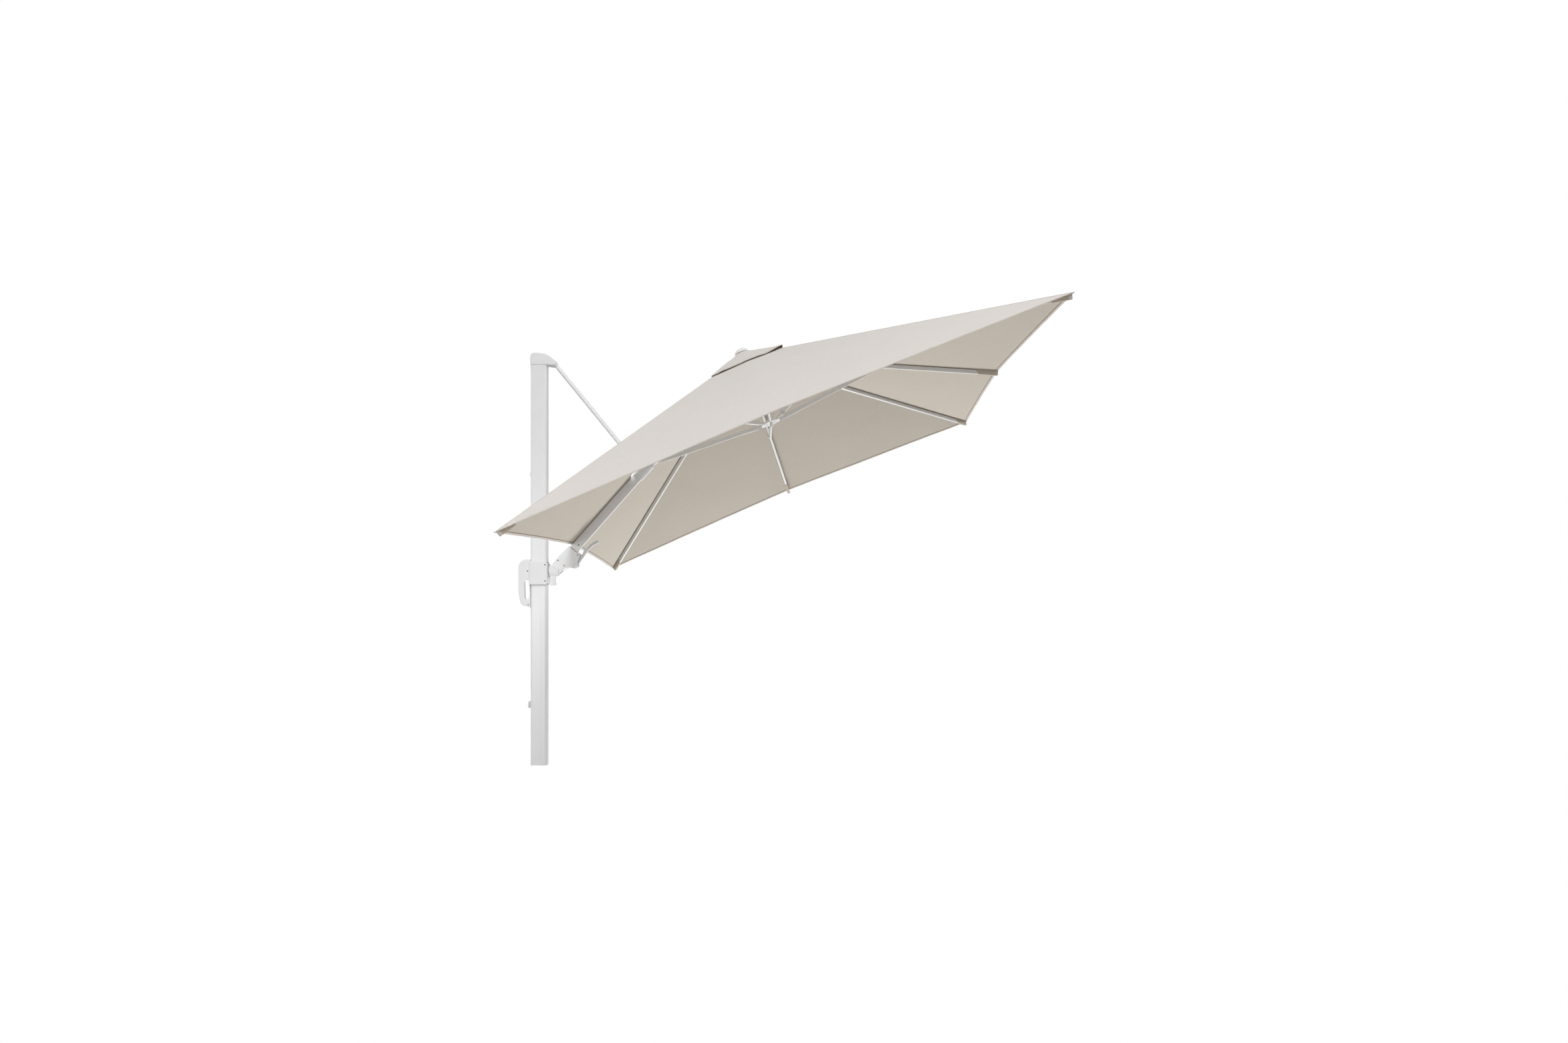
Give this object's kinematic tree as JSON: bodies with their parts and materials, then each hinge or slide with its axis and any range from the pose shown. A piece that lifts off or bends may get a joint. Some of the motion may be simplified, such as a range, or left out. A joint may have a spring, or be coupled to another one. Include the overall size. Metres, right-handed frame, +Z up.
{
  "type": "cantilever parasol",
  "caption": "Square parasol canopy carried by a tilting beam and strut from a sliding handle on a square side mast, with folding ribs and a roll lever.",
  "frame": {"origin": "centre of the mast's lower end face", "axes": "+Z up the mast, +X from the mast towards the canopy, -Y the side with the lock lever"},
  "size_m": [3.0782, 3, 2.6262],
  "materials": {
    "white_frame": "satin white powder coat on aluminium",
    "white_ribs": "satin white powder coat on thin tube",
    "white_plastic": "moulded white plastic, fine grain",
    "zinc_steel": "zinc-plated steel",
    "cast_aluminium": "die-cast, unpainted",
    "grey_liner": "acetal glide liner",
    "canopy_fabric": "woven polyester, greige, fine plain weave"
  },
  "bodies": {
    "mast": {"mast_tube": "white_frame", "mast_foot_plug": "cast_aluminium", "mast_cap": "white_plastic", "cap_screws": "zinc_steel", "cap_pin": "zinc_steel", "upper_stop": "white_plastic", "strap_knob": "white_plastic"},
    "strut": {"strut_tube": "white_frame", "strut_eye": "white_plastic", "strut_fork": "white_plastic"},
    "arm": {"neck_shell_near": "white_plastic", "neck_shell_far": "white_plastic", "neck_spigot": "cast_aluminium", "neck_screws": "zinc_steel", "tilt_lever_pin": "zinc_steel", "collar": "white_plastic", "collar_pins": "zinc_steel", "collar_screw": "zinc_steel"},
    "slider": {"slider_shell_near": "white_plastic", "slider_shell_far": "white_plastic", "slider_bracket": "cast_aluminium", "glide_liner": "grey_liner", "slider_screws": "zinc_steel", "pivot_pin": "zinc_steel"},
    "lock_lever": {"lock_lever": "white_plastic"},
    "tilt_lever": {"tilt_lever": "white_plastic"},
    "beam": {"beam_tube": "white_frame", "beam_socket": "white_plastic", "beam_bush": "white_plastic", "beam_screws": "zinc_steel", "strut_lug": "white_plastic", "beam_head": "white_plastic"},
    "hub": {"top_hub": "white_plastic", "hub_pins": "zinc_steel", "finial_cap": "white_plastic", "canopy": "canopy_fabric", "vent_flap": "canopy_fabric"},
    "runner": {"lower_hub": "white_plastic"},
    "rib_front": {"rib_front": "white_ribs", "ends_front": "white_plastic"},
    "rib_far": {"rib_far": "white_ribs", "ends_far": "white_plastic"},
    "rib_near": {"rib_near": "white_ribs", "ends_near": "white_plastic"},
    "rib_front_far": {"rib_front_far": "white_ribs", "ends_front_far": "white_plastic"},
    "rib_front_near": {"rib_front_near": "white_ribs", "ends_front_near": "white_plastic"},
    "rib_back_far": {"rib_back_far": "white_ribs", "ends_back_far": "white_plastic"},
    "rib_back_near": {"rib_back_near": "white_ribs", "ends_back_near": "white_plastic"},
    "stay_front": {"stay_front": "white_ribs"},
    "stay_far": {"stay_far": "white_ribs"},
    "stay_near": {"stay_near": "white_ribs"},
    "stay_front_far": {"stay_front_far": "white_ribs"},
    "stay_front_near": {"stay_front_near": "white_ribs"},
    "stay_back_far": {"stay_back_far": "white_ribs"},
    "stay_back_near": {"stay_back_near": "white_ribs"},
    "stay_beam": {"stay_beam": "white_ribs"}
  },
  "joints": [
    {"name": "arm_lift", "type": "hinge", "parent": "mast", "child": "strut", "pos_m": [0.097, 0, 2.5245], "axis": [0, -1, 0], "range_deg": [-35.2, 22.5]},
    {"name": "strut_to_arm", "type": "hinge", "parent": "strut", "child": "arm", "pos_m": [0.628, 0, 1.87325], "axis": [0, -1, 0], "range_deg": [-46, 71.4]},
    {"name": "arm_to_slider", "type": "hinge", "parent": "arm", "child": "slider", "pos_m": [0.097, 0, 1.222], "axis": [0, -1, 0], "range_deg": [-36, 23.4]},
    {"name": "beam_roll", "type": "hinge", "parent": "arm", "child": "beam", "pos_m": [0.21604, 0, 1.35702], "axis": [0.6613, 0, 0.7501], "range_deg": [-15, 15]},
    {"name": "canopy_fold", "type": "hinge", "parent": "beam", "child": "hub", "pos_m": [1.25092, 0, 2.53087], "axis": [0, -1, 0], "range_deg": [-53.9, 0], "deforming": ["canopy", "vent_flap"]},
    {"name": "rib_front_fold", "type": "hinge", "parent": "hub", "child": "rib_front", "pos_m": [1.33407, 0, 2.56531], "axis": [0, -1, 0], "range_deg": [-54.9, 1]},
    {"name": "rib_far_fold", "type": "hinge", "parent": "hub", "child": "rib_far", "pos_m": [1.2925, 0.045, 2.54809], "axis": [0.9239, 0, 0.3827], "range_deg": [-54.9, 1]},
    {"name": "rib_near_fold", "type": "hinge", "parent": "hub", "child": "rib_near", "pos_m": [1.2925, -0.045, 2.54809], "axis": [-0.9239, 0, -0.3827], "range_deg": [-54.9, 1]},
    {"name": "rib_front_far_fold", "type": "hinge", "parent": "hub", "child": "rib_front_far", "pos_m": [1.3219, 0.03182, 2.56027], "axis": [0.6533, -0.7071, 0.2706], "range_deg": [-61.8, 1]},
    {"name": "rib_front_near_fold", "type": "hinge", "parent": "hub", "child": "rib_front_near", "pos_m": [1.3219, -0.03182, 2.56027], "axis": [-0.6533, -0.7071, -0.2706], "range_deg": [-61.8, 1]},
    {"name": "rib_back_far_fold", "type": "hinge", "parent": "hub", "child": "rib_back_far", "pos_m": [1.2631, 0.03182, 2.53591], "axis": [0.6533, 0.7071, 0.2706], "range_deg": [-61.8, 1]},
    {"name": "rib_back_near_fold", "type": "hinge", "parent": "hub", "child": "rib_back_near", "pos_m": [1.2631, -0.03182, 2.53591], "axis": [-0.6533, 0.7071, -0.2706], "range_deg": [-61.8, 1]},
    {"name": "stay_front_fold", "type": "hinge", "parent": "rib_front", "child": "stay_front", "pos_m": [2.14515, 0, 2.50927], "axis": [0, 1, 0], "range_deg": [-132.66, 1]},
    {"name": "stay_far_fold", "type": "hinge", "parent": "rib_far", "child": "stay_far", "pos_m": [1.43109, 0.7729, 2.2135], "axis": [-0.9239, 0, -0.3827], "range_deg": [-132.66, 1]},
    {"name": "stay_near_fold", "type": "hinge", "parent": "rib_near", "child": "stay_near", "pos_m": [1.43109, -0.7729, 2.2135], "axis": [0.9239, 0, 0.3827], "range_deg": [-132.66, 1]},
    {"name": "stay_front_far_fold", "type": "hinge", "parent": "rib_front_far", "child": "stay_front_far", "pos_m": [1.91315, 0.56154, 2.51707], "axis": [-0.6533, 0.7071, -0.2706], "range_deg": [-130.6, 1]},
    {"name": "stay_front_near_fold", "type": "hinge", "parent": "rib_front_near", "child": "stay_front_near", "pos_m": [1.91315, -0.56154, 2.51707], "axis": [0.6533, 0.7071, 0.2706], "range_deg": [-130.6, 1]},
    {"name": "stay_back_far_fold", "type": "hinge", "parent": "rib_back_far", "child": "stay_back_far", "pos_m": [0.87556, 0.56154, 2.08729], "axis": [-0.6533, -0.7071, -0.2706], "range_deg": [-130.6, 1]},
    {"name": "stay_back_near_fold", "type": "hinge", "parent": "rib_back_near", "child": "stay_back_near", "pos_m": [0.87556, -0.56154, 2.08729], "axis": [0.6533, -0.7071, 0.2706], "range_deg": [-130.6, 1]},
    {"name": "stay_beam_fold", "type": "hinge", "parent": "beam", "child": "stay_beam", "pos_m": [0.76129, 0, 1.91349], "axis": [0, -1, 0], "range_deg": [-140.83, 1]},
    {"name": "runner_slide", "type": "slide", "parent": "hub", "child": "runner", "axis": [-0.3827, 0, 0.9239], "range_m": [-1.1062, 0.01]},
    {"name": "lock_lever_turn", "type": "hinge", "parent": "slider", "child": "lock_lever", "pos_m": [0.097, 0, 1.222], "axis": [0, -1, 0], "range_deg": [0, 40]},
    {"name": "tilt_lever_squeeze", "type": "hinge", "parent": "arm", "child": "tilt_lever", "pos_m": [0.21916, 0, 1.26228], "axis": [0, -1, 0], "range_deg": [0, 8], "stiffness_Nm_per_rad": 2, "springref_deg": -8.59}
  ],
  "couplings": [
    {"joint": "strut_to_arm", "follows": "arm_lift", "ratio": -2},
    {"joint": "arm_to_slider", "follows": "arm_lift", "ratio": 1},
    {"joint": "rib_front_fold", "follows": "canopy_fold", "ratio": 1},
    {"joint": "rib_far_fold", "follows": "canopy_fold", "ratio": 1},
    {"joint": "rib_near_fold", "follows": "canopy_fold", "ratio": 1},
    {"joint": "rib_front_far_fold", "follows": "canopy_fold", "ratio": 1.128},
    {"joint": "rib_front_near_fold", "follows": "canopy_fold", "ratio": 1.128},
    {"joint": "rib_back_far_fold", "follows": "canopy_fold", "ratio": 1.128},
    {"joint": "rib_back_near_fold", "follows": "canopy_fold", "ratio": 1.128},
    {"joint": "stay_front_fold", "follows": "canopy_fold", "ratio": 2.4426},
    {"joint": "stay_far_fold", "follows": "canopy_fold", "ratio": 2.4426},
    {"joint": "stay_near_fold", "follows": "canopy_fold", "ratio": 2.4426},
    {"joint": "stay_front_far_fold", "follows": "canopy_fold", "ratio": 2.4044},
    {"joint": "stay_front_near_fold", "follows": "canopy_fold", "ratio": 2.4044},
    {"joint": "stay_back_far_fold", "follows": "canopy_fold", "ratio": 2.4044},
    {"joint": "stay_back_near_fold", "follows": "canopy_fold", "ratio": 2.4044},
    {"joint": "stay_beam_fold", "follows": "canopy_fold", "ratio": 2.5942},
    {"joint": "runner_slide", "follows": "canopy_fold", "m_per_rad": 1.1653}
  ]
}
